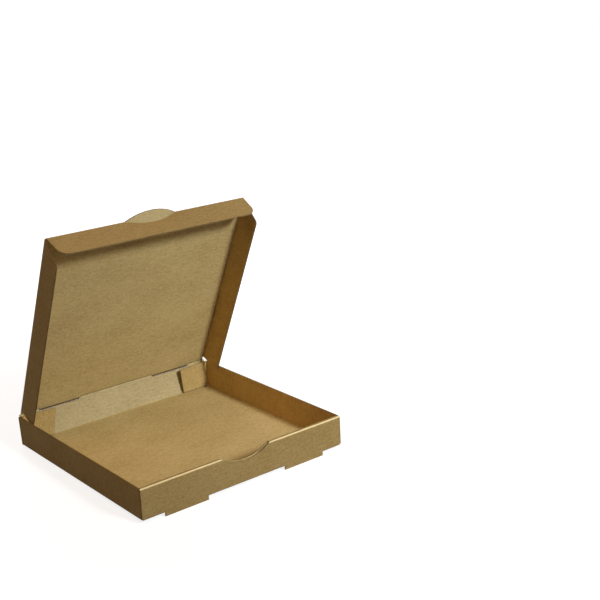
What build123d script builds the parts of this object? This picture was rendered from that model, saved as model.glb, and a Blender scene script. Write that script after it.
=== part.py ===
"""Pizza box folded from one sheet of thin corrugated kraft board, with its lid half open.

Frame: origin at the middle of the floor's underside, +X right, +Y back, +Z up.
Sizes are in millimetres and degrees.
"""
import os
from math import cos, hypot, radians, sin, tan

from build123d import *

# Board, and the folds and creases pressed into it
board = 1.5
fold_inside = 0.5  # inside radius of a folded corner
layer_gap = 0.5  # air between layers that lie folded together
crease_gap = 0.35  # from the axis of a moving crease to each panel
crease_lip = 0.15  # outer liner left whole at a moving crease
cut_gap = 0.4  # room around a die-cut tongue

# Tray, outside sizes
tray_width = 300.0
tray_depth = 300.0
wall_height = 40.0
wall_end_gap = 0.3  # front and back walls stand this far clear of the side walls
back_wall_lean = 3.5  # pushed outwards at the top by the open lid

# Front wall lock: tabs of the rolled-in layer stand in slots behind the front fold
lock_length = 61.0
lock_margin = 31.0  # from the tray's side to the lock
lock_clearance = 0.2
lock_tab_taper = 2.0
strip_corner = 1.0

# Thumb notch in the front wall; the half-moon tab of the lid is as wide
thumb_width = 73.0
thumb_depth = 11.5

# Flaps folded in from the ends of the side walls
dust_flap_length = 55.0
corner_flap_top_length = 51.0
corner_flap_foot_length = 45.0
corner_flap_foot = 3.0  # height of its lower edge
corner_flap_drop = 0.5  # its upper edge lies this far below the wall's
right_flap_stand = 4.0  # turned away from the back wall
left_flap_stand = 3.0

# Lid
lid_open_angle = 64.0  # from closed
lid_gap = 0.5  # between the closed lid and the wall tops
lid_side_clearance = 2.5
front_flap_clearance = 7.0  # behind the front wall when the lid is closed
tab_reach = 10.5
tab_relief = 3.0  # cut back at the tab's ends, where the flap turns past its thickness
hinge_strip_length = 61.0
hinge_strip_margin = 31.0
hinge_strip_reach = 3.2

# Lid flaps, folded inwards from flat
flap_floor_gap = 4.5
front_fold_angle = 90.0
front_flap_end_inset = 1.5
front_flap_taper = 2.5
front_flap_corner = 14.0
side_fold_angle = 87.8
side_flap_front_inset = 2.0
side_flap_front_taper = 15.0
side_flap_rear_inset = 8.0
side_flap_rear_taper = 8.0
side_flap_corner = 6.0

# Places that follow from these sizes
fold_outside = fold_inside + board
half_width = tray_width / 2
half_depth = tray_depth / 2
wall_half_length = half_width - board - wall_end_gap
rim_width = 3 * board + 3 * layer_gap
roll_foot = board + layer_gap
flap_back = half_depth - board - layer_gap
side_end = flap_back - fold_outside
dust_flap_top = wall_height - board - layer_gap
corner_flap_height = wall_height - corner_flap_drop - corner_flap_foot
lock_centre = half_width - lock_margin - lock_length / 2
slot_depth = rim_width - board + lock_clearance
thumb_radius = (thumb_width**2 / 4 + thumb_depth**2) / (2 * thumb_depth)

hinge_height = wall_height + lid_gap + board
hinge_setback = hinge_height * tan(radians(back_wall_lean))
hinge_strip_centre = half_width - hinge_strip_margin - hinge_strip_length / 2
hinge_notch_depth = hypot(hinge_strip_reach, board) + cut_gap
lid_half_width = half_width - board - lid_side_clearance
lid_length = tray_depth + hinge_setback - rim_width - front_flap_clearance
lid_bevel = board - crease_lip
lid_root = 2 * board  # a tongue is rooted this deep in its panel
tab_radius = (thumb_width**2 / 4 + tab_reach**2) / (2 * tab_reach)
lid_flap_height = hinge_height - board - flap_floor_gap

# Floor, walls and tucked flaps of the tray, one folded solid
with BuildPart() as base_tray:
    # Floor panel
    with BuildSketch():
        Rectangle(tray_width - 2 * fold_outside, tray_depth - 2 * fold_outside)
    extrude(amount=board)

    # Front wall: up, over a flat rim, and down again inside the tray
    with BuildSketch(Plane.YZ):
        with BuildLine():
            FilletPolyline(
                (-half_depth + fold_outside + layer_gap, 0),
                (-half_depth, 0),
                (-half_depth, wall_height),
                (-half_depth + rim_width, wall_height),
                (-half_depth + rim_width, roll_foot),
                radius=fold_outside,
            )
            offset(amount=board, side=Side.RIGHT)
        make_face()
    extrude(amount=wall_half_length, both=True)

    # Lock slots cut through the floor and its front fold
    with BuildSketch():
        with Locations((lock_centre, 0), (-lock_centre, 0)):
            with Locations((0, -half_depth + (board + slot_depth) / 2)):
                Rectangle(lock_length, board + slot_depth)
    extrude(amount=fold_outside, mode=Mode.SUBTRACT)

    # Strips cut out of those slots stay on the wall and stand below the floor
    with BuildSketch(Plane.XZ.offset(half_depth - board)):
        with Locations((lock_centre, 0), (-lock_centre, 0)):
            with Locations((0, (fold_outside - slot_depth) / 2)):
                Rectangle(lock_length, fold_outside + slot_depth)
        fillet(vertices().group_by(Axis.Y)[0], radius=strip_corner)
    extrude(amount=board)

    # Lock tabs on the foot of the rolled-in layer, down to the floor's underside
    with BuildSketch(Plane.XZ.offset(half_depth - rim_width)):
        for centre in (lock_centre, -lock_centre):
            root = lock_length / 2 - lock_clearance
            tip = root - lock_tab_taper
            with BuildLine():
                Polyline(
                    (centre - root, roll_foot),
                    (centre + root, roll_foot),
                    (centre + tip, 0),
                    (centre - tip, 0),
                    close=True,
                )
            make_face()
    extrude(amount=board)

    # Thumb notch through both layers of the front wall
    with BuildSketch(Plane.XZ.offset(half_depth - rim_width - board)):
        with Locations((0, wall_height + thumb_radius - thumb_depth)):
            Circle(thumb_radius)
    extrude(amount=rim_width + 2 * board, mode=Mode.SUBTRACT)

    # Back wall up to the lid's crease, bevelled on the inside and notched for the hinge strips.
    # Its plane has Y up the wall's outer face from the crease axis, and Z into the box.
    lean = radians(back_wall_lean)
    wall_run = hinge_height / cos(lean) - crease_gap
    back_plane = Plane(
        origin=(0, half_depth + hinge_setback, hinge_height),
        x_dir=(1, 0, 0),
        z_dir=(0, -cos(lean), sin(lean)),
    )
    with BuildSketch(Plane.YZ):
        with BuildLine():
            FilletPolyline(
                (half_depth - 2 * fold_outside, 0),
                (half_depth, 0),
                (half_depth + wall_run * sin(lean), wall_run * cos(lean)),
                radius=fold_outside,
            )
            offset(amount=board, side=Side.LEFT)
        make_face()
    extrude(amount=wall_half_length, both=True)
    crease_edge = edges().sort_by_distance(back_plane.from_local_coords((0, -crease_gap, board)))[0]
    chamfer(crease_edge, length=lid_bevel)
    with BuildSketch(back_plane):
        with Locations((hinge_strip_centre, 0), (-hinge_strip_centre, 0)):
            Rectangle(hinge_strip_length + 2 * cut_gap, 2 * hinge_notch_depth)
    extrude(amount=board, mode=Mode.SUBTRACT)

    for side, stand in ((1, radians(right_flap_stand)), (-1, radians(left_flap_stand))):
        turn_in = Side.LEFT if side > 0 else Side.RIGHT
        turn_out = Side.RIGHT if side > 0 else Side.LEFT

        # Fold between the floor and the side wall
        with BuildSketch(Plane.XZ.offset(-side_end)):
            with BuildLine():
                FilletPolyline(
                    (side * (half_width - 2 * fold_outside), 0),
                    (side * half_width, 0),
                    (side * half_width, 2 * fold_outside),
                    radius=fold_outside,
                )
                offset(amount=board, side=turn_in)
            make_face()
        extrude(amount=2 * side_end)

        # Side wall
        with BuildSketch(Plane.YZ.offset(side * half_width)):
            with Locations((0, (wall_height + fold_outside) / 2)):
                Rectangle(2 * side_end, wall_height - fold_outside)
        extrude(amount=-side * board)

        # Rear corner flap, folded in along the back wall
        with BuildSketch(Plane.XY.offset(corner_flap_foot)):
            with BuildLine():
                FilletPolyline(
                    (side * half_width, flap_back - 2 * fold_outside),
                    (side * half_width, flap_back),
                    (
                        side * (half_width - corner_flap_top_length * cos(stand)),
                        flap_back - corner_flap_top_length * sin(stand),
                    ),
                    radius=fold_outside,
                )
                offset(amount=board, side=turn_in)
            make_face()
        extrude(amount=corner_flap_height)

        # Its free edge slants back towards the foot
        corner_flap_reach = corner_flap_top_length * sin(stand) + 2 * board
        with BuildSketch(Plane.XZ.offset(-flap_back)):
            with BuildLine():
                Polyline(
                    (side * (half_width - corner_flap_top_length), wall_height),
                    (side * (half_width - corner_flap_foot_length), corner_flap_foot - layer_gap),
                    (side * (half_width - corner_flap_top_length - board), corner_flap_foot - layer_gap),
                    (side * (half_width - corner_flap_top_length - board), wall_height),
                    close=True,
                )
            make_face()
        extrude(amount=corner_flap_reach, mode=Mode.SUBTRACT)

        # Front dust flap, folded in between the layers of the front wall
        with BuildSketch(Plane.XY.offset(roll_foot)):
            with BuildLine():
                FilletPolyline(
                    (side * half_width, -flap_back + 2 * fold_outside),
                    (side * half_width, -flap_back),
                    (side * (half_width - dust_flap_length), -flap_back),
                    radius=fold_outside,
                )
                offset(amount=board, side=turn_out)
            make_face()
        extrude(amount=dust_flap_top - roll_foot)

# Lid panel: its outer face carries the crease axes, and its inner edges are bevelled for the folds.
# Its plane has Y along the lid from the hinge, and Z into the box.
lid_plane = Plane(
    origin=(0, half_depth + hinge_setback, hinge_height),
    x_dir=(1, 0, 0),
    z_dir=(0, -sin(radians(lid_open_angle)), -cos(radians(lid_open_angle))),
)
with BuildPart() as lid_panel:
    with BuildSketch(lid_plane):
        with Locations((0, lid_length / 2)):
            Rectangle(2 * (lid_half_width - crease_gap), lid_length - 2 * crease_gap)
    extrude(amount=board)
    inner_face = faces().sort_by_distance(lid_plane.from_local_coords((0, lid_length / 2, board)))[0]
    chamfer(inner_face.edges(), length=lid_bevel)

    # Strips that stay in the lid's plane behind the hinge, and the half-moon tab at the front
    with BuildSketch(lid_plane):
        with Locations((hinge_strip_centre, 0), (-hinge_strip_centre, 0)):
            with Locations((0, (lid_root - hinge_strip_reach) / 2)):
                Rectangle(hinge_strip_length, lid_root + hinge_strip_reach)
        fillet(vertices().group_by(Axis.Y)[0], radius=strip_corner)
    extrude(amount=board)
    with BuildSketch(lid_plane):
        with Locations((0, lid_length + tab_reach - tab_radius)):
            Circle(tab_radius)
        with Locations((0, lid_length - lid_root + tab_radius)):
            Rectangle(thumb_width, 2 * tab_radius, mode=Mode.INTERSECT)
    extrude(amount=board)

# Front tuck flap with rounded ends, cut out where the half-moon tab left it
front_plane = Plane(
    lid_plane.location * Location((0, lid_length, 0), (front_fold_angle, 0, 0))
)
with BuildPart() as lid_front_flap:
    front_root = lid_half_width - front_flap_end_inset
    front_tip = front_root - front_flap_taper
    with BuildSketch(front_plane):
        with BuildLine():
            Polyline(
                (-front_root, crease_gap),
                (front_root, crease_gap),
                (front_tip, lid_flap_height),
                (-front_tip, lid_flap_height),
                close=True,
            )
        make_face()
        fillet(vertices().group_by(Axis.Y)[-1], radius=front_flap_corner)
    extrude(amount=board)
    crease_edge = edges().sort_by_distance(front_plane.from_local_coords((0, crease_gap, board)))[0]
    chamfer(crease_edge, length=lid_bevel)
    with BuildSketch(front_plane):
        with Locations((0, tab_reach - tab_radius)):
            Circle(tab_radius + cut_gap)
        Rectangle(thumb_width + 2 * cut_gap, 2 * (tab_reach + cut_gap), mode=Mode.INTERSECT)
        Rectangle(thumb_width + 2 * cut_gap, 2 * tab_relief)
    extrude(amount=board, mode=Mode.SUBTRACT)

os.makedirs("parts", exist_ok=True)
base_tray.part.label = "base_tray"
export_step(base_tray.part, "parts/base_tray.step")
lid_panel.part.label = "lid_panel"
export_step(lid_panel.part, "parts/lid_panel.step")
lid_front_flap.part.label = "lid_front_flap"
export_step(lid_front_flap.part, "parts/lid_front_flap.step")

# Side tuck flaps: a mirrored pair, each on a plane with Y from its crease to its free edge
front_root = lid_length - side_flap_front_inset
front_tip = front_root - side_flap_front_taper
rear_root = side_flap_rear_inset
rear_tip = rear_root + side_flap_rear_taper
for name, side in (("lid_right_flap", 1), ("lid_left_flap", -1)):
    crease = lid_plane.location * Location((side * lid_half_width, 0, 0), (0, 0, -side * 90))
    side_plane = Plane(crease * Location((0, 0, 0), (side_fold_angle, 0, 0)))
    with BuildPart() as side_flap:
        with BuildSketch(side_plane):
            with BuildLine():
                Polyline(
                    (-side * rear_root, crease_gap),
                    (-side * rear_tip, lid_flap_height),
                    (-side * front_tip, lid_flap_height),
                    (-side * front_root, crease_gap),
                    close=True,
                )
            make_face()
            fillet(vertices().group_by(Axis.Y)[-1], radius=side_flap_corner)
        extrude(amount=board)
        crease_middle = (-side * lid_length / 2, crease_gap, board)
        crease_edge = edges().sort_by_distance(side_plane.from_local_coords(crease_middle))[0]
        chamfer(crease_edge, length=lid_bevel)
    side_flap.part.label = name
    export_step(side_flap.part, f"parts/{name}.step")
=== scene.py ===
"""Pizza box folded from one sheet of thin corrugated kraft board, shown with its lid half open.

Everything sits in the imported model's frame, in metres. Sizes of the sheet are in millimetres.
"""
import math

import bpy
import numpy as np
from mathutils import Matrix


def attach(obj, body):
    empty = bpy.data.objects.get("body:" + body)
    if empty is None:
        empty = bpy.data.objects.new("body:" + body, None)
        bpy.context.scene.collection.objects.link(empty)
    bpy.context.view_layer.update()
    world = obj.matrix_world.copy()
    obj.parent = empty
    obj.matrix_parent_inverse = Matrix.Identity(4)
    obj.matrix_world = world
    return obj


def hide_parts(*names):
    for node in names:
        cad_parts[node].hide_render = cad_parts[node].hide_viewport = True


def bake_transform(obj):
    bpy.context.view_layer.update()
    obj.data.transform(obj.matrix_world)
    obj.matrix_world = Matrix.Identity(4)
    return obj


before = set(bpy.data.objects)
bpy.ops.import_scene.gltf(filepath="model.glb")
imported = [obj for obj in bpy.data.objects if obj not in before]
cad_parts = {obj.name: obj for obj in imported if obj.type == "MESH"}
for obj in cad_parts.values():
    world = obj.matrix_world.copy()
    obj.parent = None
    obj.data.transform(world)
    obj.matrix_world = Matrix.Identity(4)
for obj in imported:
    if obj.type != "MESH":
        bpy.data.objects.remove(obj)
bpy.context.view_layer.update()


# ---- Tray sheet: floor with the front and back walls ----
# Thin corrugated board: two kraft liners with a waved paper between them. The waves run from back to
# front, up the back wall, under the food and over the front wall, which is rolled back into the tray.
MM = 0.001
map_scale = 0.01  # one unit of the sheet's own map is 100 mm
board, liner, paper = 1.5, 0.25, 0.15
fold = 2.0  # outside radius of a pressed fold
fold_steps = np.linspace(0, 1, 7)


def folded_path(corners, turn):
    """Outer face of a folded board in section: straight runs, with a fold at each corner.

    turn is 1 where the folds go left and -1 where they go right. Returns at(v, n), the point at
    length v and depth n, with the start and end of each straight run.
    """
    corners = [np.array(c, float) for c in corners]
    heads = [(b - a) / np.linalg.norm(b - a) for a, b in zip(corners, corners[1:])]
    turns = [math.acos(np.clip(a @ b, -1, 1)) for a, b in zip(heads, heads[1:])] + [0]
    stretches, runs, length, trim = [], [], 0.0, 0.0
    for i, head in enumerate(heads):
        start = corners[i] + head * trim
        next_trim = fold * math.tan(turns[i] / 2)
        straight = np.linalg.norm(corners[i + 1] - corners[i]) - trim - next_trim
        inward = turn * np.array((-head[1], head[0]))
        stretches.append((length, start, head, inward, False))
        runs.append((length, length + straight))
        stretches.append((length + straight, start + head * straight, head, inward, True))
        length += straight + fold * turns[i]
        trim = next_trim

    def at(v, n):
        v, n = np.broadcast_arrays(np.asarray(v, float), np.asarray(n, float))
        point = np.zeros(v.shape + (2,))
        for k, (begin, start, head, inward, bends) in enumerate(stretches[:-1]):
            here = (v >= begin - 1e-9) if k else np.full(v.shape, True)
            s, depth = (v - begin)[..., None], n[..., None]
            if bends:
                angle = s / fold
                out = -inward * np.cos(angle) + head * np.sin(angle)
                where = start + inward * fold + (fold - depth) * out
            else:
                where = start + s * head + depth * inward
            point = np.where(here[..., None], where, point)
        return point

    return at, runs


class Liner:
    """One paper face of the board, gathered patch by patch into a closed thin sheet."""

    def __init__(self, face_slot, cut_slot):
        self.points, self.worn, self.faces, self.slots, self.uvs = [], [], [], [], []
        self.face_slot, self.cut_slot = face_slot, cut_slot

    def add(self, place, across, along, near, far, sheet_at=None, worn=0.0, slot=None):
        """A patch over a grid of sheet places, from depth near to depth far under the outer face.

        The value before slot is 1 where the paper is paler: wear at folds, a painted highlight on the rim,
        painted light at the lid's front. slot takes the place of the liner's own paper.
        """
        face_slot = self.face_slot if slot is None else slot
        across, along = np.broadcast_arrays(np.asarray(across, float), np.asarray(along, float))
        top, low = place(across, along, near), place(across, along, far)
        u, v = (across, along) if sheet_at is None else sheet_at(across, along)
        rows, columns = across.shape
        middle = (rows // 2, columns // 2)
        step_a = top[min(middle[0] + 1, rows - 1), middle[1]] - top[middle[0] - 1, middle[1]]
        step_v = top[middle[0], min(middle[1] + 1, columns - 1)] - top[middle[0], middle[1] - 1]
        outward = np.cross(step_a, step_v) @ (top[middle] - low[middle]) > 0
        base = len(self.points)
        self.points += [tuple(p) for p in top.reshape(-1, 3)] + [tuple(p) for p in low.reshape(-1, 3)]
        self.worn += 2 * np.broadcast_to(np.asarray(worn, float), across.shape).reshape(-1).tolist()
        flat_uv = np.stack([u, v], -1).reshape(-1, 2) * map_scale
        uv_of = np.concatenate([flat_uv, flat_uv])
        index = base + np.arange(rows * columns).reshape(rows, columns)
        under = index + rows * columns
        quads = [
            (index[:-1, :-1], index[1:, :-1], index[1:, 1:], index[:-1, 1:], face_slot),
            (under[:-1, 1:], under[1:, 1:], under[1:, :-1], under[:-1, :-1], face_slot),
            (index[1:, 0], index[:-1, 0], under[:-1, 0], under[1:, 0], self.cut_slot),
            (index[:-1, -1], index[1:, -1], under[1:, -1], under[:-1, -1], self.cut_slot),
            (index[-1, 1:], index[-1, :-1], under[-1, :-1], under[-1, 1:], self.cut_slot),
            (index[0, :-1], index[0, 1:], under[0, 1:], under[0, :-1], self.cut_slot),
        ]
        for *corner, slot in quads:
            for face in zip(*(c.reshape(-1) for c in corner)):
                face = face if outward else face[::-1]
                self.faces.append(face)
                self.slots.append(slot)
                self.uvs.append([tuple(uv_of[i - base]) for i in face])


def sheet_object(name, liners, materials, smooth_angle=35):
    """The gathered liners as one mesh. Points in one place are merged, and inner faces drop out."""
    points, worn, where, faces, count = [], [], {}, [], {}
    for which, part in enumerate(liners):
        merged = []
        for p, rub_and_light_amount in zip(part.points, part.worn):
            key = (which,) + tuple(round(c, 3) for c in p)
            if key not in where:
                where[key] = len(points)
                points.append(p)
                worn.append(rub_and_light_amount)
            merged.append(where[key])
        for face, slot, uv in zip(part.faces, part.slots, part.uvs):
            corners = [(merged[i], t) for i, t in zip(face, uv)]
            corners = [c for i, c in enumerate(corners) if c[0] != corners[i - 1][0]]
            if len({c[0] for c in corners}) > 2:
                key = frozenset(c[0] for c in corners)
                count[key] = count.get(key, 0) + 1
                faces.append(([c[0] for c in corners], slot, [c[1] for c in corners], key))
    kept = [f for f in faces if count[f[3]] == 1]
    mesh = bpy.data.meshes.new(name)
    mesh.from_pydata([[c * MM for c in p] for p in points], [], [f[0] for f in kept])
    mesh.polygons.foreach_set("material_index", [f[1] for f in kept])
    layer = mesh.uv_layers.new(name="sheet")
    layer.data.foreach_set("uv", [c for f in kept for uv in f[2] for c in uv])
    mesh.attributes.new("worn", "FLOAT", "POINT").data.foreach_set("value", worn)
    for m in materials:
        mesh.materials.append(m)
    mesh.shade_smooth()
    mesh.set_sharp_from_angle(angle=math.radians(smooth_angle))
    mesh.validate()
    obj = bpy.data.objects.new(name, mesh)
    bpy.context.scene.collection.objects.link(obj)
    return obj


class Field:
    """A shader socket that takes part in Python arithmetic. Each operation adds its own node."""

    def __init__(self, tree, socket):
        self.tree, self.socket = tree, socket

    def node(self, kind, settings=None, inputs=None, out=0):
        made = self.tree.nodes.new(kind)
        for key, value in (settings or {}).items():
            if key == "stops":
                ramp = made.color_ramp
                for i, (place, colour) in enumerate(value):
                    stop = ramp.elements[i] if i < len(ramp.elements) else ramp.elements.new(place)
                    stop.position, stop.color = place, colour
            else:
                setattr(made, key, value)
        for key, value in (inputs or {}).items():
            if isinstance(value, Field):
                self.tree.links.new(value.socket, made.inputs[key])
            else:
                made.inputs[key].default_value = value
        return Field(self.tree, made.outputs[out])

    def maths(self, operation, a, b):
        return self.node("ShaderNodeMath", {"operation": operation}, {0: a, 1: b})

    def __add__(self, other):
        return self.maths("ADD", self, other)

    def __sub__(self, other):
        return self.maths("SUBTRACT", self, other)

    def __mul__(self, other):
        return self.maths("MULTIPLY", self, other)

    def __radd__(self, other):
        return self.maths("ADD", other, self)

    def __rsub__(self, other):
        return self.maths("SUBTRACT", other, self)

    def __rmul__(self, other):
        return self.maths("MULTIPLY", other, self)


flute_pitch = 3.2
rub_and_light_tone = (0.73, 0.63, 0.345, 1)  # paper paled by wear at folds, also the painted highlight on the rim and painted light at the lid's front


def kraft(name, pale, deep, waves):
    """Unbleached kraft paper: short fibres, flecks and clouds, laid along the sheet's own map."""
    material = bpy.data.materials.new(name)
    material.use_nodes = True
    tree = material.node_tree
    shader = tree.nodes["Principled BSDF"]
    sheet = Field(tree, None).node("ShaderNodeUVMap", {"uv_map": "sheet"})

    def noise(stretch, detail, rough=0.55, turn=0.0):
        where = sheet.node(
            "ShaderNodeMapping", None, {"Vector": sheet, "Scale": stretch, "Rotation": (0, 0, turn)}
        )
        return sheet.node(
            "ShaderNodeTexNoise",
            {"noise_dimensions": "2D"},
            {"Vector": where, "Scale": 1.0, "Detail": detail, "Roughness": rough},
        )

    clouds = noise((1.3, 2.3, 1), 3)
    mottle = noise((24.0, 34.0, 1), 3)
    streaks = noise((7.0, 42.0, 1), 2, turn=0.08)
    fibres = noise((70.0, 190.0, 1), 3)
    cross_fibres = noise((190.0, 80.0, 1), 2, turn=0.5)
    flecks = noise((110.0, 150.0, 1), 1)
    across = sheet.node("ShaderNodeSeparateXYZ", None, {0: sheet})
    wash = sheet.maths("SINE", across * (2 * math.pi / (map_scale * flute_pitch)), 0.0)
    dark_flecks = flecks.node("ShaderNodeMapRange", {"clamp": True}, {0: flecks, 1: 0.68, 2: 0.78})
    pale_flecks = flecks.node("ShaderNodeMapRange", {"clamp": True}, {0: flecks, 1: 0.32, 2: 0.22})
    # the paler paper: wear at folds, a painted highlight along the rim, painted light at the lid's front edge
    rub_and_light_amount = sheet.node("ShaderNodeAttribute", {"attribute_name": "worn"}, out=2)
    tone = (
        0.5
        + (clouds - 0.5) * 0.45
        + (mottle - 0.5) * 0.8
        + (streaks - 0.5) * 0.55
        + (fibres - 0.5) * 0.6
        + (cross_fibres - 0.5) * 0.35
        + wash * waves
        - dark_flecks * 0.35
        + pale_flecks * 0.25
    )
    plain = tone.node("ShaderNodeValToRGB", {"stops": ((0.0, deep), (1.0, pale))}, {0: tone})
    colour = tone.node(
        "ShaderNodeMix",
        {"data_type": "RGBA"},
        {"Factor": rub_and_light_amount * (0.55 + mottle * 0.7), 6: plain, 7: rub_and_light_tone},
        out=2,
    )
    height = fibres * 0.5 + cross_fibres * 0.3 + mottle * 0.5 + wash * (waves * 4)
    bump = height.node("ShaderNodeBump", None, {"Height": height, "Strength": 0.14, "Distance": 0.0004})
    tree.links.new(colour.socket, shader.inputs["Base Color"])
    tree.links.new((0.78 + (fibres - 0.5) * 0.3).socket, shader.inputs["Roughness"])
    tree.links.new(bump.socket, shader.inputs["Normal"])
    shader.inputs["Specular IOR Level"].default_value = 0.15
    return material


outside_kraft = kraft("kraft_outside", (0.368, 0.277, 0.112, 1), (0.215, 0.138, 0.046, 1), 0.02)
inside_kraft = kraft("kraft_inside", (0.64, 0.52, 0.25, 1), (0.338, 0.24, 0.085, 1), 0.012)
# cut edges drawn dark: the edge's own tone, and painted shade of the hollows inside the cut board
cut_and_shade_kraft = kraft("kraft_cut_edge_and_painted_shade", (0.25, 0.165, 0.07, 1), (0.08, 0.046, 0.017, 1), 0.0)
# painted sheen: a paler, greyer inner paper for the back wall between its notches
painted_sheen_kraft = kraft("kraft_inside_painted_sheen", (0.592, 0.506, 0.282, 1), (0.328, 0.264, 0.129, 1), 0.012)
# painted shade: a darker, warmer inner paper for the tray's dust and corner flaps
painted_shade_kraft = kraft("kraft_inside_painted_shade", (0.575, 0.435, 0.182, 1), (0.308, 0.206, 0.063, 1), 0.012)
# painted bounce light: a brighter, more orange inner paper for the side walls and the lid's side flaps
painted_bounce_kraft = kraft("kraft_inside_painted_bounce", (0.69, 0.475, 0.185, 1), (0.368, 0.225, 0.064, 1), 0.012)
board_materials = [outside_kraft, inside_kraft, cut_and_shade_kraft, painted_sheen_kraft, painted_shade_kraft, painted_bounce_kraft]
OUTSIDE, INSIDE, CUT_AND_SHADE, PAINTED_SHEEN, PAINTED_SHADE, PAINTED_BOUNCE = range(len(board_materials))
tray_outer, tray_inner = Liner(OUTSIDE, CUT_AND_SHADE), Liner(INSIDE, CUT_AND_SHADE)
tray_liners = ((tray_outer, 0), (tray_inner, board - liner))

half = 150.0
strip_half = 148.0  # the floor ends here, where the folds of the side walls begin
front_half = 149.7  # the front and back faces run on to the box's corners
wall_height, rim_width, roll_foot = 40.0, 6.0, 2.0
hinge_height, back_lean = 42.0, math.radians(3.5)
hinge_back = half + hinge_height * math.tan(back_lean)
lock_near, lock_far, slot_back, strip_drop = 58.0, 119.0, -143.8, 4.7
notch_near, notch_far, notch_drop = 57.6, 119.4, 3.56
thumb_half, thumb_depth = 36.5, 11.5
thumb_radius = (thumb_half**2 + thumb_depth**2) / (2 * thumb_depth)
crease_edge = 1.2  # outer liner ends here, where the crease carries it on
score_depth = 0.52  # inner liner is pressed down to this, over these distances from the crease
score_steps = np.array([0.58, 0.78, 1.02, 1.32, 1.7, 2.2])
outer_steps = np.array([crease_edge, score_steps[-1]])

section, runs = folded_path(
    [
        (hinge_back, hinge_height),
        (half, 0),
        (-half, 0),
        (-half, wall_height),
        (-half + rim_width, wall_height),
        (-half + rim_width, roll_foot),
    ],
    -1,
)
back_run, floor_run, front_run, rim_run, roll_run = runs


def on_strip(x, v, n):
    yz = section(v, n)
    return np.stack([np.broadcast_to(x, yz.shape[:-1]), yz[..., 0], yz[..., 1]], -1)


def scored(distance):
    """Depth of the inner face near a crease: full board, then a soft step down."""
    t = np.clip((score_steps[-1] - distance) / (score_steps[-1] - score_steps[0]), 0, 1)
    return board - (board - score_depth) * t * t * (3 - 2 * t)


def thumb_height(x):
    inside = np.clip(thumb_radius**2 - np.square(x), 0, None)
    return np.minimum(wall_height - thumb_depth + thumb_radius - np.sqrt(inside), wall_height)


def floor_at(y):
    """Length along the strip of the place y on the floor."""
    return floor_run[0] + (floor_start - y)


def span(columns, low, high):
    return columns[(columns >= low - 1e-6) & (columns <= high + 1e-6)]


def around_gaps(near, far, end):
    """The three stretches of a row that has a gap from near to far on each side of its middle."""
    return ((-end, -far), (-near, near), (far, end))


floor_start = half - fold * math.tan((math.pi / 2 - back_lean) / 2)
thumb_columns = thumb_half * np.sin(np.linspace(-math.pi / 2, math.pi / 2, 27))
lock_columns = np.array([lock_near, 73, 88.5, 104, lock_far])
side_columns = np.concatenate([[notch_near], lock_columns, [notch_far, 134, strip_half]])
columns = np.unique(np.round(np.concatenate([-side_columns, thumb_columns, side_columns]), 5))
floor_rows = np.array([147.6, 145.8, 100, 50, 0, -50, -100, slot_back, -146, -147.6])
back_bend = back_run[1] + fold_steps * (floor_run[0] - back_run[1])
front_bend = floor_run[1] + fold_steps * (front_run[0] - floor_run[1])
rim_bend = front_run[1] + fold_steps * (rim_run[0] - front_run[1])
roll_bend = rim_run[1] + fold_steps * (roll_run[0] - rim_run[1])
quarters = np.linspace(0, 1, 5)


def rub_and_light_at(v):
    """How far the folds of the strip are drawn paler: least under the floor, most along the rim, where it is
    wear and a painted highlight.
    """
    total = np.zeros(np.shape(v))
    # the rim's large weight is mostly a painted highlight, where the rolled bend faces the light
    for bend, most in ((back_bend, 0.05), (front_bend, 0.1), (rim_bend, 1.5), (roll_bend, 0.4)):
        total += most * np.clip(1 - np.abs(v - bend[3]) / (bend[6] - bend[3]), 0, 1)
    return total


# Back wall above its notches, then down and over the floor to the lock slots
for low, high in around_gaps(notch_near, notch_far, strip_half):
    x = span(columns, low, high)[:, None]
    tray_outer.add(on_strip, x, np.append(outer_steps, notch_drop)[None], 0, liner)
    v = np.append(score_steps, notch_drop)[None]
    # between the notches the inner face carries the painted sheen; beside them it keeps the plain inner paper
    tray_inner.add(on_strip, x, v, scored(v) - liner, scored(v), slot=PAINTED_SHEEN if low < 0 < high else INSIDE)
back_rows = notch_drop + quarters * (back_run[1] - notch_drop)
back_face = np.concatenate([back_rows, back_bend[1:4]])[None]
floor_face = np.concatenate([back_bend[3:], floor_at(floor_rows[:-2])])[None]
# the back wall's inner face carries the painted sheen
for part, near, back_slot in ((tray_outer, 0, OUTSIDE), (tray_inner, board - liner, PAINTED_SHEEN)):
    part.add(on_strip, columns[:, None], back_face, near, near + liner, None, rub_and_light_at(back_face), back_slot)
    part.add(on_strip, columns[:, None], floor_face, near, near + liner, None, rub_and_light_at(floor_face))

# Front fold of the floor between the slots
rows = np.concatenate([floor_at(floor_rows[-3:]), front_bend])[None]
for low, high in around_gaps(lock_near, lock_far, strip_half):
    x = span(columns, low, high)[:, None]
    for part, near in tray_liners:
        part.add(on_strip, x, rows, near, near + liner, None, rub_and_light_at(rows))

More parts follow.
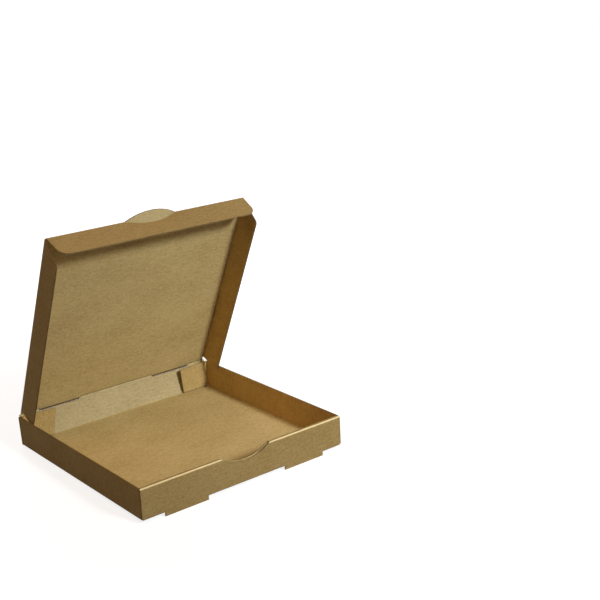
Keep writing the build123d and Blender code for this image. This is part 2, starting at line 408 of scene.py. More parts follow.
# Front wall, rim and rolled-in layer, whole at the sides and cut by the thumb notch in the middle
rise = front_run[0] + quarters * (front_run[1] - front_run[0])
fall = roll_run[0] + quarters * (roll_run[1] - roll_run[0])
whole = np.concatenate([rise, rim_bend[1:], roll_bend, fall[1:]])[None]
for low, high in ((-strip_half, -thumb_half), (thumb_half, strip_half)):
    x = span(columns, low, high)[:, None]
    for part, near in tray_liners:
        part.add(on_strip, x, whole, near, near + liner, None, rub_and_light_at(whole))
front_rows = np.concatenate([rise, rim_bend[1:]])[None]
back_rows = np.concatenate([back_rows, back_bend[1:]])[None]
for side in (-1, 1):
    x = side * np.array([strip_half, front_half])[:, None]
    for part, near in tray_liners:
        part.add(on_strip, x, front_rows, near, near + liner, None, rub_and_light_at(front_rows))
        part.add(on_strip, x, back_rows, near, near + liner)
x = span(columns, -thumb_half, thumb_half)[:, None]
over_bend = np.clip((thumb_height(x) - wall_height + fold) / fold, 0, 1)
below_bend = np.minimum(thumb_height(x), wall_height - fold) - fold
up_to = np.where(over_bend > 0, front_run[1] + fold * np.arcsin(over_bend), front_run[0] + below_bend)
down_from = np.where(
    over_bend > 0, rim_run[1] + fold * np.arccos(over_bend), roll_run[1] - roll_foot + fold - below_bend
)
wall_top = np.minimum(up_to, front_run[1])
roll_top = np.maximum(down_from, roll_run[0])
outer_layer = np.concatenate(
    [front_run[0] + quarters * (wall_top - front_run[0]), np.minimum(rim_bend[None, 1:], up_to)], 1
)
rolled_layer = np.concatenate(
    [np.maximum(roll_bend[None], down_from), roll_top + quarters[1:] * (roll_run[1] - roll_top)], 1
)
for part, near in tray_liners:
    part.add(on_strip, x, outer_layer, near, near + liner, None, rub_and_light_at(outer_layer))
    part.add(on_strip, x, rolled_layer, near, near + liner, None, rub_and_light_at(rolled_layer))


# Strips left standing below the front wall, and the lock tabs that fill the slots behind them
def on_front(x, z, n):
    x, z, n = np.broadcast_arrays(x, z, np.asarray(n, float))
    return np.stack([x, n - half, z], -1)


def on_roll(x, z, n):
    x, z, n = np.broadcast_arrays(x, z, np.asarray(n, float))
    return np.stack([x, rim_width - half - n, z], -1)


tab_taper = 2.0
for side in (-1, 1):
    x = np.sort(side * span(columns, lock_near, lock_far))[:, None]
    middle = side * (lock_near + lock_far) / 2
    tip = middle + (x - middle) * (1 - 2 * tab_taper / (lock_far - lock_near))
    for part, near in tray_liners:
        z = np.array([-strip_drop, -strip_drop / 2, 0, fold])[None]
        part.add(on_front, x, z, near, near + liner, lambda a, v: (a, front_run[0] - fold + v))
        z = np.array([0, roll_foot])[None]
        tapered = np.concatenate([tip, x], 1)
        part.add(on_roll, tapered, z, near, near + liner, lambda a, v: (a, roll_run[1] + roll_foot - v))


# ---- Side walls with their front and rear flaps ----
# The same sheet, folded up along both sides of the floor. Each wall carries a dust flap, trapped inside
# the rolled front wall, and a loose corner flap that stands a little off the back wall.
flap_back, dust_length, corner_top, corner_foot = 148.0, 55.0, 51.0, 45.0
dust_top, corner_low, corner_high = 38.0, 3.0, 39.9
wall_end = flap_back - fold  # the flat of a side wall ends here, front and back
wall_levels = np.array([fold, corner_low, 12, 21, 30, dust_top, corner_high, wall_height])
side_places = []
for side, stand, lean in ((1, math.radians(4.0), 2.6), (-1, math.radians(3.0), 1.2)):
    plan, (dust_run, wall_run, corner_run) = folded_path(
        [
            (half - dust_length, -flap_back),
            (half, -flap_back),
            (half, flap_back),
            (half - corner_top * math.cos(stand), flap_back - corner_top * math.sin(stand)),
        ],
        1,
    )

    def on_side(z, v, n, side=side, plan=plan, lean=lean, corner_run=corner_run):
        xy = plan(v, n)
        z, along = np.broadcast_to(z, xy.shape[:-1]), np.broadcast_to(v, xy.shape[:-1])
        out = np.clip((along - corner_run[0]) / (corner_run[1] - corner_run[0]), 0, 1)
        forward = lean * out**2 * (1.6 * z / wall_height - 0.6)
        return np.stack([side * xy[..., 0], xy[..., 1] - forward, z], -1)

    def on_bend(s, y, n, side=side):
        s, y, n = np.broadcast_arrays(s, y, np.asarray(n, float))
        x = strip_half + (fold - n) * np.sin(s / fold)
        return np.stack([side * x, y, fold - (fold - n) * np.cos(s / fold)], -1)

    def on_map(z, v, side=side, wall_run=wall_run):
        return side * (strip_half + fold * (math.pi / 2 - 1) + z), floor_at(wall_run[0] - wall_end - v)

    side_places.append((on_side, dust_run, wall_run, corner_run))
    wall_rows = wall_run[0] + np.sort(floor_rows)[1:-1] + wall_end
    flap_levels = wall_levels[wall_levels <= dust_top][:, None]
    corner_levels = wall_levels[(wall_levels >= corner_low) & (wall_levels <= corner_high)][:, None]
    dust_bend = dust_run[1] + fold_steps * (wall_run[0] - dust_run[1])
    corner_bend = wall_run[1] + fold_steps * (corner_run[0] - wall_run[1])
    corner_length = corner_foot + (corner_top - corner_foot) * corner_levels / wall_height
    corner_end = corner_run[1] - corner_top + corner_length
    dust_rows = np.concatenate([quarters * dust_run[1], dust_bend[1:]])
    fold_worn = 0.15 * np.array([0, 0.33, 0.67, 1, 0.67, 0.33, 0])
    dust_worn = np.concatenate([0 * quarters, fold_worn[1:]])
    corner_worn = np.concatenate([[0], fold_worn, 0 * quarters[1:]])
    corner_rows = np.concatenate(
        [
            np.broadcast_to(np.append(wall_rows[-1], corner_bend), (len(corner_levels), 8)),
            corner_run[0] + quarters[1:] * (corner_end - corner_run[0]),
        ],
        1,
    )
    fold_rows = (fold_steps * fold * math.pi / 2)[:, None]
    for (part, near), wall_slot, flap_slot in zip(tray_liners, (OUTSIDE, PAINTED_BOUNCE), (OUTSIDE, PAINTED_SHADE)):
        part.add(
            on_bend, fold_rows, np.sort(floor_rows)[None], near, near + liner,
            lambda s, y, side=side: (side * (strip_half + s), floor_at(y)), 0.6 * fold_worn[:, None],
        )
        for heights, rows, worn, slot in (
            # side walls: the inner face carries painted bounce light
            (wall_levels[:, None], wall_rows[None], 0.0, wall_slot),
            # dust and corner flaps: the inner face carries painted shade
            (flap_levels, dust_rows[None], dust_worn[None], flap_slot),
            (corner_levels, corner_rows, corner_worn[None], flap_slot),
        ):
            part.add(on_side, heights, rows, near, near + liner, on_map, worn, slot)

tray_board = sheet_object("tray_board", [tray_outer, tray_inner], board_materials)
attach(tray_board, "base")
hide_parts("base_tray")


# ---- Fluting of the tray ----
# The waved paper between the liners, which shows as a row of small arches wherever a cut crosses it:
# along the thumb notch, the slots, the lock tabs and the free edges of the corner flaps.
flute_material = bpy.data.materials.new("kraft_fluting")
flute_material.use_nodes = True
flute_shader = flute_material.node_tree.nodes["Principled BSDF"]
flute_place = Field(flute_material.node_tree, None).node("ShaderNodeTexCoord", out=3)
flute_grain = flute_place.node(
    "ShaderNodeTexNoise", None, {"Vector": flute_place, "Scale": 900.0, "Detail": 2.0}
)
# the waved paper drawn darker than the liners: its own tone, and painted shade inside the board
flute_tones = ((0.3, (0.18, 0.115, 0.046, 1)), (0.7, (0.31, 0.205, 0.09, 1)))
flute_colour = flute_grain.node("ShaderNodeValToRGB", {"stops": flute_tones}, {0: flute_grain})
flute_material.node_tree.links.new(flute_colour.socket, flute_shader.inputs["Base Color"])
flute_shader.inputs["Roughness"].default_value = 0.85

fluting = bpy.data.node_groups.new("fluting", "GeometryNodeTree")
fluting.is_modifier = True
flute_inputs = {}
for label, kind in (
    ("Across", "NodeSocketFloat"), ("Pitch", "NodeSocketFloat"), ("Height", "NodeSocketFloat"),
    ("Paper", "NodeSocketFloat"), ("Rows", "NodeSocketInt"), ("Material", "NodeSocketMaterial"),
):
    made = fluting.interface.new_socket(label, in_out="INPUT", socket_type=kind)
    flute_inputs[label] = made.identifier
fluting.interface.new_socket("Geometry", in_out="OUTPUT", socket_type="NodeSocketGeometry")
entry = fluting.nodes.new("NodeGroupInput")


def flute_node(kind, settings, *links):
    """A node of the tree, with its settings and the links or values of its sockets."""
    made = fluting.nodes.new(kind)
    for key, value in settings.items():
        setattr(made, key, value)
    for key, value in links:
        if isinstance(value, bpy.types.NodeSocket):
            fluting.links.new(value, made.inputs[key])
        else:
            made.inputs[key].default_value = value
    return made


def flute_maths(operation, *values):
    return flute_node("ShaderNodeMath", {"operation": operation}, *enumerate(values)).outputs[0]


corners_per_wave = 8.0
waves_across = flute_maths("DIVIDE", entry.outputs["Across"], entry.outputs["Pitch"])
corners_across = flute_maths("MULTIPLY", waves_across, corners_per_wave)
flat_paper = flute_node(
    "GeometryNodeMeshGrid", {}, ("Size X", entry.outputs["Across"]), ("Size Y", 1.0),
    ("Vertices X", corners_across), ("Vertices Y", entry.outputs["Rows"]),
)
position_in = flute_node("GeometryNodeInputPosition", {})
place_in = flute_node("ShaderNodeSeparateXYZ", {}, (0, position_in.outputs[0]))
turns_in = flute_maths("DIVIDE", place_in.outputs[0], entry.outputs["Pitch"])
wave_in = flute_maths("SINE", flute_maths("MULTIPLY", turns_in, 2 * math.pi))
rise_in = flute_maths("MULTIPLY", wave_in, entry.outputs["Height"])
lift_in = flute_node("ShaderNodeCombineXYZ", {}, (2, rise_in))
waved = flute_node(
    "GeometryNodeSetPosition", {}, ("Geometry", flat_paper.outputs[0]), ("Offset", lift_in.outputs[0])
)
thick = flute_node(
    "GeometryNodeExtrudeMesh", {"mode": "FACES"}, ("Mesh", waved.outputs[0]),
    ("Offset Scale", entry.outputs["Paper"]), ("Individual", False),
)
turned_face = flute_node("GeometryNodeFlipFaces", {}, ("Mesh", waved.outputs[0]))
both_faces = flute_node("GeometryNodeJoinGeometry", {})
fluting.links.new(turned_face.outputs[0], both_faces.inputs[0])
fluting.links.new(thick.outputs[0], both_faces.inputs[0])
closed = flute_node(
    "GeometryNodeMergeByDistance", {}, ("Geometry", both_faces.outputs[0]), ("Distance", 1e-7)
)
realised = flute_node("GeometryNodeRealizeInstances", {}, ("Geometry", closed.outputs[0]))
papered = flute_node(
    "GeometryNodeSetMaterial", {}, ("Geometry", realised.outputs[0]), ("Material", entry.outputs["Material"])
)
leave = fluting.nodes.new("NodeGroupOutput")
fluting.links.new(papered.outputs[0], leave.inputs[0])


def fluted_object(name, panels):
    """One waved paper for each (place, from, to, start, end), fitted between the board's liners."""
    points, faces = [], []
    for place, low, high, start, end in panels:
        mesh = bpy.data.meshes.new("fluting_panel")
        holder = bpy.data.objects.new("fluting_panel", mesh)
        bpy.context.scene.collection.objects.link(holder)
        modifier = holder.modifiers.new("fluting", "NODES")
        modifier.node_group = fluting
        for label, value in (
            ("Across", (high - low) * MM), ("Pitch", flute_pitch * MM), ("Paper", paper * MM),
            ("Height", (board - 2 * liner - paper) / 2 * MM), ("Rows", 5), ("Material", flute_material),
        ):
            modifier[flute_inputs[label]] = value
        shaped = holder.evaluated_get(bpy.context.evaluated_depsgraph_get())
        flat = bpy.data.meshes.new_from_object(shaped)
        xyz = np.zeros(len(flat.vertices) * 3, np.float32)
        flat.vertices.foreach_get("co", xyz)
        xyz = xyz.reshape(-1, 3).astype(float)
        across = (low + high) / 2 + xyz[:, 0] / MM
        depth = board / 2 + (xyz[:, 2] - paper * MM / 2) / MM
        along = start(across) + (end(across) - start(across)) * (xyz[:, 1] + 0.5)
        fitted = place(across, along, depth)
        probe = np.array([[0, 0, 0], [1, 0, 0], [0, 1, 0], [0, 0, 0.1]]) + [(low + high) / 2, 0, board / 2]
        centre = (start(probe[:1, 0]) + end(probe[:1, 0])) / 2
        p = place(probe[:, 0], probe[:, 1] + centre, probe[:, 2])
        mirrored = np.linalg.det(p[1:] - p[0]) < 0
        for polygon in flat.polygons:
            corners = [len(points) + i for i in polygon.vertices]
            faces.append(corners[::-1] if mirrored else corners)
        points += [tuple(q * MM) for q in fitted]
        bpy.data.objects.remove(holder)
        bpy.data.meshes.remove(mesh)
        bpy.data.meshes.remove(flat)
    mesh = bpy.data.meshes.new(name)
    mesh.from_pydata(points, [], faces)
    mesh.materials.append(flute_material)
    mesh.shade_smooth()
    mesh.set_sharp_from_angle(angle=math.radians(50))
    obj = bpy.data.objects.new(name, mesh)
    bpy.context.scene.collection.objects.link(obj)
    return obj


def even(value):
    return lambda a: np.full(np.shape(a), float(value))


def in_locks(a):
    return (np.abs(a) > lock_near) & (np.abs(a) < lock_far)


def on_floor(x, y, n):
    return np.stack([x, y, n], -1)


flute_end = 0.3  # the waves stop short of a fold's side edge
floor_reach = 147.0  # and run a little way into the folds at the floor's front and back
reach = strip_half - flute_end
tray_panels = [
    (on_floor, -reach, reach, lambda a: np.where(in_locks(a), slot_back, -floor_reach), even(floor_reach)),
    (
        on_front, flute_end - front_half, front_half - flute_end,
        lambda a: np.where(in_locks(a), -strip_drop, fold),
        lambda a: np.minimum(thumb_height(a), wall_height - fold),
    ),
    (
        on_roll, -reach, reach, lambda a: np.where(in_locks(a), 0.0, roll_foot),
        lambda a: np.minimum(thumb_height(a), wall_height - fold),
    ),
    (
        on_strip, -reach, reach,
        lambda a: np.where((np.abs(a) > notch_near) & (np.abs(a) < notch_far), notch_drop, score_steps[-1]),
        even(back_run[1]),
    ),
]
for on_side, dust_run, wall_run, corner_run in side_places:
    def corner_cut(z, corner_run=corner_run):
        return corner_run[1] - (corner_top - corner_foot) * (1 - z / wall_height)

    tray_panels += [
        (on_side, fold, wall_height - flute_end, even(wall_run[0]), even(wall_run[1])),
        (on_side, fold + flute_end, dust_top - flute_end, even(0.0), even(dust_run[1])),
        (on_side, corner_low + flute_end, corner_high - flute_end, even(corner_run[0]), corner_cut),
    ]
tray_fluting = fluted_object("tray_fluting", tray_panels)
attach(tray_fluting, "base")


# ---- Lid panel ----
# The sheet goes on over the back wall's crease. Its edges are pressed into scores for the flaps, two
# short strips stay in its plane behind the hinge, and a half-moon thumb tab is cut out of the front flap.
lid_open = math.radians(64.0)
front_room = 7.0  # between the shut lid's front edge and the rolled wall
lid_half, lid_length = 146.0, half + hinge_back - rim_width - front_room
strip_reach, tab_reach, lid_zone = 3.2, 10.5, 3.0
tab_radius = (thumb_half**2 + tab_reach**2) / (2 * tab_reach)
hinge_point = np.array([0.0, hinge_back, hinge_height])
right_way = np.array([1.0, 0.0, 0.0])
up_lid = np.array([0.0, -math.cos(lid_open), math.sin(lid_open)])
into_box = np.array([0.0, -math.sin(lid_open), -math.cos(lid_open)])
lid_bow = 0.8
mitre_steps, mitre_edge = np.array([0.02, 0.29, score_steps[-1]]), 0.012


def lid_sag(x, u):
    """The open panel bows a little towards the tray between its folds."""
    across = np.clip(1 - np.square(x / lid_half), 0, 1)
    return lid_bow * (across * np.clip(4 * u / lid_length * (1 - u / lid_length), 0, 1))


def scalable(*values):
    """The values in one shape, each with a last axis so that it can scale a direction."""
    return [np.asarray(c, float)[..., None] for c in np.broadcast_arrays(*values)]


def on_lid(x, u, n):
    x, u, n = scalable(x, u, n)
    return hinge_point + x * right_way + u * up_lid + (n + lid_sag(x, u)) * into_box


def mitred(distance):
    """Depth of the outer liner's inner face near a side fold, where it thins to an edge on the fold line."""
    return np.where(distance < mitre_steps[1] / 2, mitre_edge, liner)


def tab_edge(x):
    return lid_length + tab_reach - tab_radius + np.sqrt(np.clip(tab_radius**2 - np.square(x), 0, None))


lid_outer, lid_inner = Liner(OUTSIDE, CUT_AND_SHADE), Liner(INSIDE, CUT_AND_SHADE)
lid_side_columns = np.append(lock_columns, 132)
lid_map = lambda x, u: (x, -u)
lid_rows = 13
body_rows = np.linspace(lid_zone, lid_length - lid_zone, lid_rows)[None]
no_crease = 9.0  # a distance at which no score is felt
moon_light, moon_light_start, moon_light_fade, moon_light_half = 0.7, 26.0, 20.0, 30.0  # painted light: the lid's front edge and half-moon drawn paler and greyer
for part, edges in ((lid_outer, outer_steps), (lid_inner, score_steps)):
    outer = part is lid_outer
    lid_columns = np.concatenate([lid_side_columns, lid_half - (mitre_steps if outer else edges)])
    lid_columns = np.unique(np.round(np.concatenate([-lid_columns, thumb_columns, lid_columns]), 5))

    def faces_at(x, at_crease):
        if outer:
            return 0.0, mitred(lid_half - np.abs(x))
        away = np.minimum(lid_half - np.abs(x), at_crease)
        return scored(away) - liner, scored(away)

    def lid_patch(low, high, u, at_crease=lambda u: np.full(np.shape(u), no_crease), slot=None):
        x, u = np.broadcast_arrays(span(lid_columns, low, high)[:, None], u)
        # painted light, strongest at the lid's front edge and in its middle
        moon_lit = moon_light * np.clip((u - lid_length + moon_light_start) / moon_light_fade, 0, 1)
        moon_lit = moon_lit * np.clip(2 - np.abs(x) / moon_light_half, 0, 1)
        part.add(on_lid, x, u, *faces_at(x, at_crease(u)), lid_map, 0.0 if outer else moon_lit, slot)

    lid_patch(-lid_half, lid_half, body_rows)
    rear = np.append(edges, lid_zone)[None]
    for low, high in around_gaps(lock_near, lock_far, lid_half):
        lid_patch(low, high, rear, lambda u: u)
    for low, high in ((-lock_far, -lock_near), (lock_near, lock_far)):
        # the strips' inner face takes the dark cut-edge paper: painted shade in the slits behind the back
        # wall's notches
        lid_patch(low, high, np.array([-strip_reach, 0])[None], slot=None if outer else CUT_AND_SHADE)
        lid_patch(low, high, np.array([0, lid_zone])[None])
    front = lid_length - np.append(lid_zone, edges[::-1])[None]
    for low, high in ((-lid_half, -thumb_half), (thumb_half, lid_half)):
        lid_patch(low, high, front, lambda u: lid_length - u)
    tab_root = lid_length - lid_zone
    tab_depth = tab_edge(span(lid_columns, -thumb_half, thumb_half))[:, None] - tab_root
    lid_patch(-thumb_half, thumb_half, tab_root + quarters * tab_depth)

lid_board = sheet_object("lid_board", [lid_outer, lid_inner], board_materials)
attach(lid_board, "lid")
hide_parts("lid_panel")

lid_reach = lid_half - score_steps[-1]
lid_fluting = fluted_object(
    "lid_fluting",
    [(
        on_lid, -lid_reach, lid_reach,
        lambda a: np.where(in_locks(a), -strip_reach, score_steps[-1]),
        lambda a: np.where(np.abs(a) < thumb_half, tab_edge(a), lid_length - score_steps[-1]),
    )],
)
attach(lid_fluting, "lid")


# ---- Front tuck flap ----
# Folded square off the lid's front edge, with rounded free corners. The half-moon cut out of it
# belongs to the lid, and its cut ends are eased so that the flap turns past the board.
flap_height = 36.0
flap_root, flap_taper, flap_round = 144.5, 2.5, 14.0
tab_gap, tab_relief = 0.4, 3.0
lid_front = hinge_point + lid_length * up_lid


def on_front_flap(x, d, n):
    x, d, n = scalable(x, d, n)
    return lid_front + x * right_way + d * into_box - n * up_lid


def rounded_end(d, slope, radius):
    """How far a flap's end stands in at distance d from its fold: a slant, then a rounded corner."""
    lean = math.atan(slope / flap_height)
    centre = slope * (flap_height - radius) / flap_height + radius / math.cos(lean)
    turn_at = flap_height - radius + radius * math.sin(lean)
    arc = np.sqrt(np.clip(radius**2 - np.square(d - flap_height + radius), 0, None))
    return np.where(d < turn_at, slope * d / flap_height, centre - arc)


def moon_half(d):
    """Half the width of the half-moon cut-out at distance d from the fold."""
    wide = np.sqrt(np.clip((tab_radius + tab_gap) ** 2 - np.square(d + tab_radius - tab_reach), 0, None))
    return np.minimum(wide, thumb_half + tab_gap)


def round_rows(radius):
    return flap_height - radius + radius * np.sin(np.linspace(0, math.pi / 2, 9))


front_outer, front_inner = Liner(OUTSIDE, CUT_AND_SHADE), Liner(INSIDE, CUT_AND_SHADE)
moon_end = tab_reach + tab_gap
halves = np.array([0, 0.5])
for part, edges in ((front_outer, outer_steps), (front_inner, score_steps)):
    low_rows = np.append(edges, tab_relief)
    arc_rows = moon_end - (moon_end - tab_relief) * np.square(np.linspace(1, 0, 9))
    top_rows = np.concatenate([[moon_end, 16.0], round_rows(flap_round)])
    for rows, above_relief in ((low_rows, False), (arc_rows, True), (top_rows, True)):
        d = rows[None, :]
        outside = flap_root - rounded_end(d, flap_taper, flap_round)
        shoulder = np.minimum(thumb_half + tab_gap, outside)
        wing = shoulder + quarters[:, None] * (outside - shoulder)
        if above_relief:
            inside = np.minimum(moon_half(d), shoulder)
            middle = inside + halves[:, None] * (shoulder - inside)
            wing = np.concatenate([middle, wing], 0)
        depth = scored(d) if part is front_inner else np.full(d.shape, liner)
        for side in (-1, 1):
            part.add(
                on_front_flap, side * wing, np.broadcast_to(d, wing.shape), depth - liner, depth,
                lambda x, d: (x, -lid_length - d),
            )

front_flap_board = sheet_object("front_flap_board", [front_outer, front_inner], board_materials)
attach(front_flap_board, "front_flap")
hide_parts("lid_front_flap")

flap_rows = np.linspace(0, flap_height, 400)
flap_widths = flap_root - rounded_end(flap_rows, flap_taper, flap_round)
front_reach = flap_root - flap_taper - 0.5  # a little short of the slanted ends


def moon_foot(a):
    """Where the waves begin: past the half-moon in the middle, past the score beside it."""
    arc = tab_reach - tab_radius + np.sqrt(np.clip((tab_radius + tab_gap) ** 2 - np.square(a), 0, None))
    return np.where(np.abs(a) < thumb_half + tab_gap, np.maximum(arc, tab_relief), score_steps[-1])


front_flap_fluting = fluted_object(
    "front_flap_fluting",
    [(
        on_front_flap, -front_reach, front_reach, moon_foot,
        lambda a: np.interp(np.abs(a), flap_widths[::-1], flap_rows[::-1]),
    )],
)
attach(front_flap_fluting, "front_flap")


# ---- Side tuck flaps ----
# A mirrored pair, slanted at the front and almost square at the hinge, folded off the lid's sides so
# that they slip inside the tray's walls. Their waves run along the fold.
side_fold = math.radians(87.8)
rear_inset, rear_step, rear_step_end, rear_slant = 5.0, 1.9, 2.0, 1.6
front_inset, front_slant, side_round = 2.0, 15.0, 6.0
side_rows = [6.0, 12.0, 18.0, 24.0]


def rear_end(d):
    """The hinge end of a side flap: a short step past the back wall's top, then a slant."""
    return rear_inset + rear_step * np.clip(d / rear_step_end, 0, 1) + rounded_end(d, rear_slant, side_round)


def front_end(d):
    return lid_length - front_inset - rounded_end(d, front_slant, side_round)


for side, body in ((1, "right_flap"), (-1, "left_flap")):
    out_way = side * right_way
    down_flap = math.cos(side_fold) * out_way + math.sin(side_fold) * into_box
    into_flap = -math.sin(side_fold) * out_way + math.cos(side_fold) * into_box
    crease_start = hinge_point + lid_half * out_way

    def on_side_flap(d, u, n, start=crease_start, down=down_flap, inward=into_flap):
        d, u, n = scalable(d, u, n)
        return start + u * up_lid + d * down + n * inward

    flap_outer, flap_inner = Liner(OUTSIDE, CUT_AND_SHADE), Liner(INSIDE, CUT_AND_SHADE)
    for part, edges in ((flap_outer, mitre_steps), (flap_inner, score_steps)):
        d = np.concatenate([edges, side_rows, round_rows(side_round)])[:, None]
        u = rear_end(d) + np.linspace(0, 1, lid_rows) * (front_end(d) - rear_end(d))
        near, far = (scored(d) - liner, scored(d)) if part is flap_inner else (0.0, mitred(d))
        # the inner face carries painted bounce light
        part.add(
            on_side_flap, np.broadcast_to(d, u.shape), u, near, far,
            lambda d, u, side=side: (side * (lid_half + d), -u), 0.0, OUTSIDE if part is flap_outer else PAINTED_BOUNCE,
        )
    flap_board = sheet_object(f"{body}_board", [flap_outer, flap_inner], board_materials)
    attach(flap_board, body)
    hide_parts(f"lid_{body}")
    flap_fluting = fluted_object(
        f"{body}_fluting",
        [(on_side_flap, score_steps[-1], flap_height - flute_end, rear_end, front_end)],
    )
    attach(flap_fluting, body)


# ---- Creases at the hinge and the front flap ----
# At the hinge and at the front flap only the outer liner goes round the fold, pressed into a soft line.
# These strips carry it from one panel to the next.
crease_rows = 10


def crease_object(name, axis_at, along_way, ways, inwards, stretches, map_at):
    """The outer liner round a fold, from one panel to the next. ways lead off along the two panels."""
    part = Liner(OUTSIDE, CUT_AND_SHADE)
    t = np.linspace(0, 1, crease_rows)[:, None]
    bend = crease_edge * ((1 - t) ** 2 * ways[0] + t**2 * ways[1])
    normal = (1 - t) * inwards[0] + t * inwards[1]
    normal = normal / np.linalg.norm(normal, axis=1, keepdims=True)

    def on_crease(t_index, s, n):
        t_index, s, n = np.broadcast_arrays(t_index, s, np.asarray(n, float))
        k = np.round(t_index).astype(int)
        return axis_at + s[..., None] * along_way + bend[k] + n[..., None] * normal[k]

    for low, high in stretches:
        s = np.linspace(low, high, 7)[None]
        part.add(on_crease, np.arange(float(crease_rows))[:, None], s, 0.0, liner, map_at)
    obj = sheet_object(name, [part], board_materials, 60)
    start, end = (tuple((axis_at + crease_edge * way) * MM) for way in ways)
    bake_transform(obj)


def over_crease(k):
    """Distance past the fold line at row k of a crease."""
    return crease_edge * (2 * k / (crease_rows - 1) - 1)


down_wall = np.array([0.0, -math.sin(back_lean), -math.cos(back_lean)])
into_tray = np.array([0.0, -math.cos(back_lean), math.sin(back_lean)])
crease_object(
    "lid_crease", hinge_point, right_way, (down_wall, up_lid), (into_tray, into_box),
    around_gaps(notch_near, notch_far, lid_half),
    lambda k, s: (s, -over_crease(k)),
)
moon_side = thumb_half + tab_gap
crease_object(
    "front_flap_crease", lid_front, right_way,
    (-up_lid, into_box), (into_box, -up_lid),
    ((-flap_root, -moon_side), (moon_side, flap_root)),
    lambda k, s: (s, -lid_length - over_crease(k)),
)


# ---- Studio ----
# A white floor that the box stands on by its front strips and its rear fold, a soft key light from the
# front right, weaker ones overhead and behind, and the camera where the photograph was taken from.
def shown_rays(field):
    """1 for the rays that show the surroundings: camera, glossy and transmission rays."""
    camera_ray, glossy_ray, through_ray = (
        field.node("ShaderNodeLightPath", out=f"Is {kind} Ray")
        for kind in ("Camera", "Glossy", "Transmission")
    )
    return camera_ray + glossy_ray + through_ray


floor_tilt = math.atan2(strip_drop, 2 * half - board)
ground_size, ground_drop = 40.0, 0.0001
ground_mesh = bpy.data.meshes.new("ground")
ground_points = []
for x, y in ((-1, -1), (1, -1), (1, 1), (-1, 1)):
    y_at = y * ground_size
    ground_points.append((x * ground_size, y_at, (y_at - half * MM) * math.tan(floor_tilt) - ground_drop))
ground_mesh.from_pydata(ground_points, [], [(0, 1, 2, 3)])
ground = bpy.data.objects.new("ground", ground_mesh)
bpy.context.scene.collection.objects.link(ground)
ground_paint = bpy.data.materials.new("white_ground")
ground_paint.use_nodes = True
ground_tree = ground_paint.node_tree
ground_tree.nodes.remove(ground_tree.nodes["Principled BSDF"])
matt = Field(ground_tree, None).node("ShaderNodeBsdfDiffuse", None, {"Color": (0.3, 0.3, 0.3, 1)})
spot = matt.node("ShaderNodeTexCoord", out=3)
away = matt.node("ShaderNodeVectorMath", {"operation": "LENGTH"}, {0: spot}, out=1)
ground_level = matt.node(
    "ShaderNodeMapRange", {"interpolation_type": "SMOOTHSTEP"},
    {0: away, 1: 0.2, 2: 0.9, 3: 0.82, 4: 1.0},
)
glow = matt.node("ShaderNodeEmission", None, {"Color": ground_level, "Strength": 1.0})
lit = matt.node("ShaderNodeAddShader", None, {0: matt, 1: glow})
mixed = matt.node("ShaderNodeMixShader", None, {0: shown_rays(matt), 1: matt, 2: lit})
ground_tree.links.new(mixed.socket, ground_tree.nodes["Material Output"].inputs["Surface"])
ground_mesh.materials.append(ground_paint)

world = bpy.data.worlds.new("studio")
bpy.context.scene.world = world
world.use_nodes = True
sky_tree = world.node_tree
fill = sky_tree.nodes["Background"]
fill.inputs["Strength"].default_value = 0.087
fill.inputs["Color"].default_value = (1, 0.7, 0.58, 1)
white = Field(sky_tree, None).node("ShaderNodeBackground", None, {"Color": (1, 1, 1, 1), "Strength": 1.0})
sky = white.node(
    "ShaderNodeMixShader", None, {0: shown_rays(white), 1: Field(sky_tree, fill.outputs[0]), 2: white}
)
sky_tree.links.new(sky.socket, sky_tree.nodes["World Output"].inputs["Surface"])

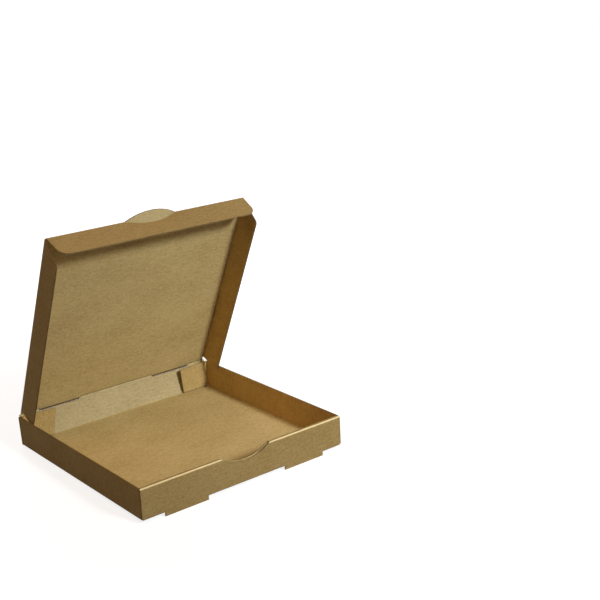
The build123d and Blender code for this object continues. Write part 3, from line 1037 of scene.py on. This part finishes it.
for name, place, target, size, spread, level, tint in (
    ("key_light", (0.4, -1.95, 1.25), (0.32, -0.1, 0.0), 0.42, 60, 1.225, (1, 1, 1)),
    ("top_light", (-0.65, -0.35, 1.4), (0.0, 0.0, 0.05), 0.9, 180, 0.287, (1, 0.63, 0.33)),
    ("back_light", (0.5, 1.9, 1.2), (0.0, 0.15, 0.15), 1.0, 180, 0.435, (1, 1, 1)),
):
    lamp = bpy.data.lights.new(name, "AREA")
    lamp.shape, lamp.size, lamp.color = "DISK", size, tint
    lamp.spread = math.radians(spread)
    half_cone = lamp.spread / 2  # level is the light at the target, at any distance and spread
    gain = math.tan(half_cone) / (math.tan(half_cone) - half_cone) if spread < 180 else 1.0
    aim = np.array(target) - np.array(place)
    lamp.energy = level * math.pi**2 * float(aim @ aim) / gain
    light = bpy.data.objects.new(name, lamp)
    back = -aim / np.linalg.norm(aim)
    side_way = np.cross([0.0, 1.0, 0.0], back)
    side_way /= np.linalg.norm(side_way)
    turn_to = Matrix((side_way, np.cross(back, side_way), back)).transposed()
    light.matrix_world = Matrix.Translation(place) @ turn_to.to_4x4()
    bpy.context.scene.collection.objects.link(light)

view_yaw, view_pitch, view_roll = math.radians(38.539), math.radians(17.058), math.radians(-2.6367)
view_from = (-0.75408, -1.21393, 0.62571)
focal_pixels, frame_pixels = 1177.34, 600
look = np.array([
    math.sin(view_yaw) * math.cos(view_pitch),
    math.cos(view_yaw) * math.cos(view_pitch),
    -math.sin(view_pitch),
])
level_way = np.array([math.cos(view_yaw), -math.sin(view_yaw), 0.0])
rise_way = np.cross(level_way, look)
camera_right = math.cos(view_roll) * level_way + math.sin(view_roll) * rise_way
camera_up = math.cos(view_roll) * rise_way - math.sin(view_roll) * level_way
lens = bpy.data.cameras.new("camera")
lens.sensor_width = 36.0
lens.lens = lens.sensor_width * focal_pixels / frame_pixels
lens.clip_end = 200.0
camera = bpy.data.objects.new("camera", lens)
camera_turn = Matrix((camera_right, camera_up, -look)).transposed()
camera.matrix_world = Matrix.Translation(view_from) @ camera_turn.to_4x4()
bpy.context.scene.collection.objects.link(camera)
bpy.context.scene.camera = camera
bpy.context.scene.view_settings.view_transform = "Standard"
